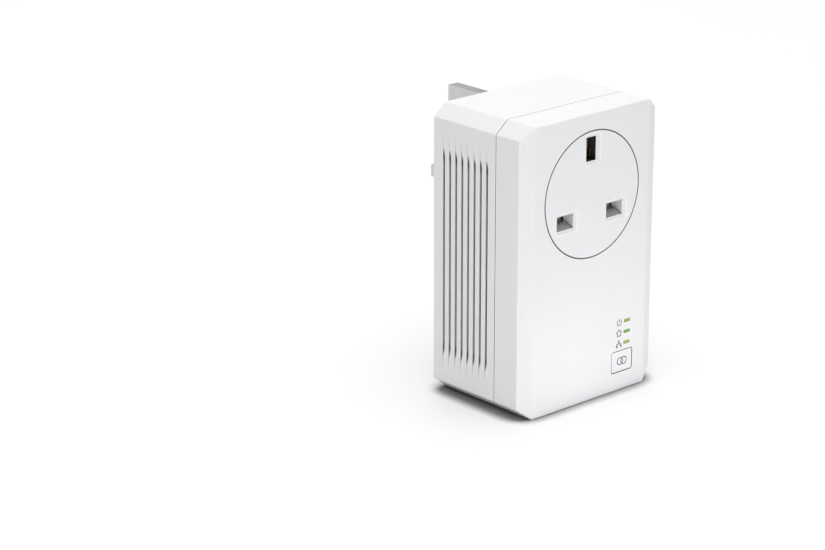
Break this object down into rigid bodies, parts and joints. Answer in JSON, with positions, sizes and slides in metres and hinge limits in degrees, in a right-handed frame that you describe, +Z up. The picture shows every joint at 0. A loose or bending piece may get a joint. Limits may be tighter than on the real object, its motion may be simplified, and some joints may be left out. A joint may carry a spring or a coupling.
{
  "type": "powerline adapter",
  "caption": "Wall-plug powerline network adapter with pass-through mains socket, status lights, pair button, slotted sides and network ports in its base.",
  "frame": {"origin": "on the bottom face, in the middle of the footprint from the front face to the earth pin's tip", "axes": "+X right seen from the front, +Y into the wall along the plug pins, +Z up"},
  "size_m": [0.061, 0.0668, 0.0975],
  "materials": {
    "case_white": "satin moulded",
    "button_white": "satin moulded",
    "window_green": "translucent light pipe",
    "shutter_grey": "matte moulded",
    "jack_grey": "satin moulded",
    "insulator_dark": "matte moulded",
    "pin_metal": "nickel-plated brass, polished",
    "brass": "bright stamped",
    "gold_wire": "gold-flashed",
    "steel": "zinc-plated",
    "board_green": "solder mask",
    "chip_black": "moulded epoxy",
    "led_body": "moulded",
    "aluminium": "extruded",
    "pad_grey": "soft",
    "film_clear": "translucent film",
    "ferrite": "sintered",
    "tape_yellow": "tape",
    "copper": "enamelled wire",
    "sleeve_black": "shrink sleeve",
    "box_yellow": "moulded box",
    "disc_blue": "dipped epoxy",
    "fuse_brown": "moulded"
  },
  "bodies": {
    "housing": {"bridge_rectifier": "chip_black", "bulk_capacitor": "sleeve_black", "case_screws": "steel", "chip_heatsink": "aluminium", "choke_cores": "ferrite", "choke_windings": "copper", "clock_crystal": "steel", "coupling_transformer": "ferrite", "earth_busbar": "brass", "earth_pin": "pin_metal", "earth_socket_contact": "brass", "ethernet_chip": "chip_black", "flash_chip": "chip_black", "front_cover": "case_white", "insulating_sheet": "film_clear", "jack_contacts": "gold_wire", "jack_housing": "jack_grey", "led_light_pipe": "window_green", "link_header": "chip_black", "link_pins": "gold_wire", "live_busbar": "brass", "live_pin": "pin_metal", "live_socket_contact": "brass", "magnetics_left": "chip_black", "magnetics_right": "chip_black", "main_board": "board_green", "mains_fuse": "fuse_brown", "memory_chip": "chip_black", "neutral_busbar": "brass", "neutral_pin": "pin_metal", "neutral_socket_contact": "brass", "optocoupler": "chip_black", "output_capacitors": "sleeve_black", "pin_carrier": "insulator_dark", "power_board": "board_green", "power_controller": "chip_black", "powerline_chip": "chip_black", "rear_case": "case_white", "safety_capacitor": "disc_blue", "shutter_spring": "steel", "socket_insulator": "insulator_dark", "status_leds": "led_body", "suppression_capacitor": "box_yellow", "surge_varistor": "disc_blue", "switch_base": "chip_black", "switch_cover": "steel", "thermal_pad": "pad_grey", "transformer_bobbin": "sleeve_black", "transformer_core": "ferrite", "transformer_winding": "tape_yellow"},
    "button": {"pair_button": "button_white"},
    "plunger": {"switch_plunger": "chip_black"},
    "shutter": {"socket_shutter": "shutter_grey"}
  },
  "joints": [
    {"name": "pair_button_press", "type": "slide", "parent": "housing", "child": "button", "axis": [0, 1, 0], "range_m": [0, 0.0004], "stiffness_N_per_m": 600, "springref_m": -0.0005},
    {"name": "switch_plunger_press", "type": "slide", "parent": "housing", "child": "plunger", "axis": [0, 1, 0], "range_m": [0, 0.0004]},
    {"name": "shutter_slide", "type": "slide", "parent": "housing", "child": "shutter", "axis": [0, 0, -1], "range_m": [0, 0.0053], "stiffness_N_per_m": 60, "springref_m": -0.004, "deforming": ["shutter_spring"]}
  ],
  "couplings": [
    {"joint": "switch_plunger_press", "follows": "pair_button_press", "ratio": 1}
  ]
}
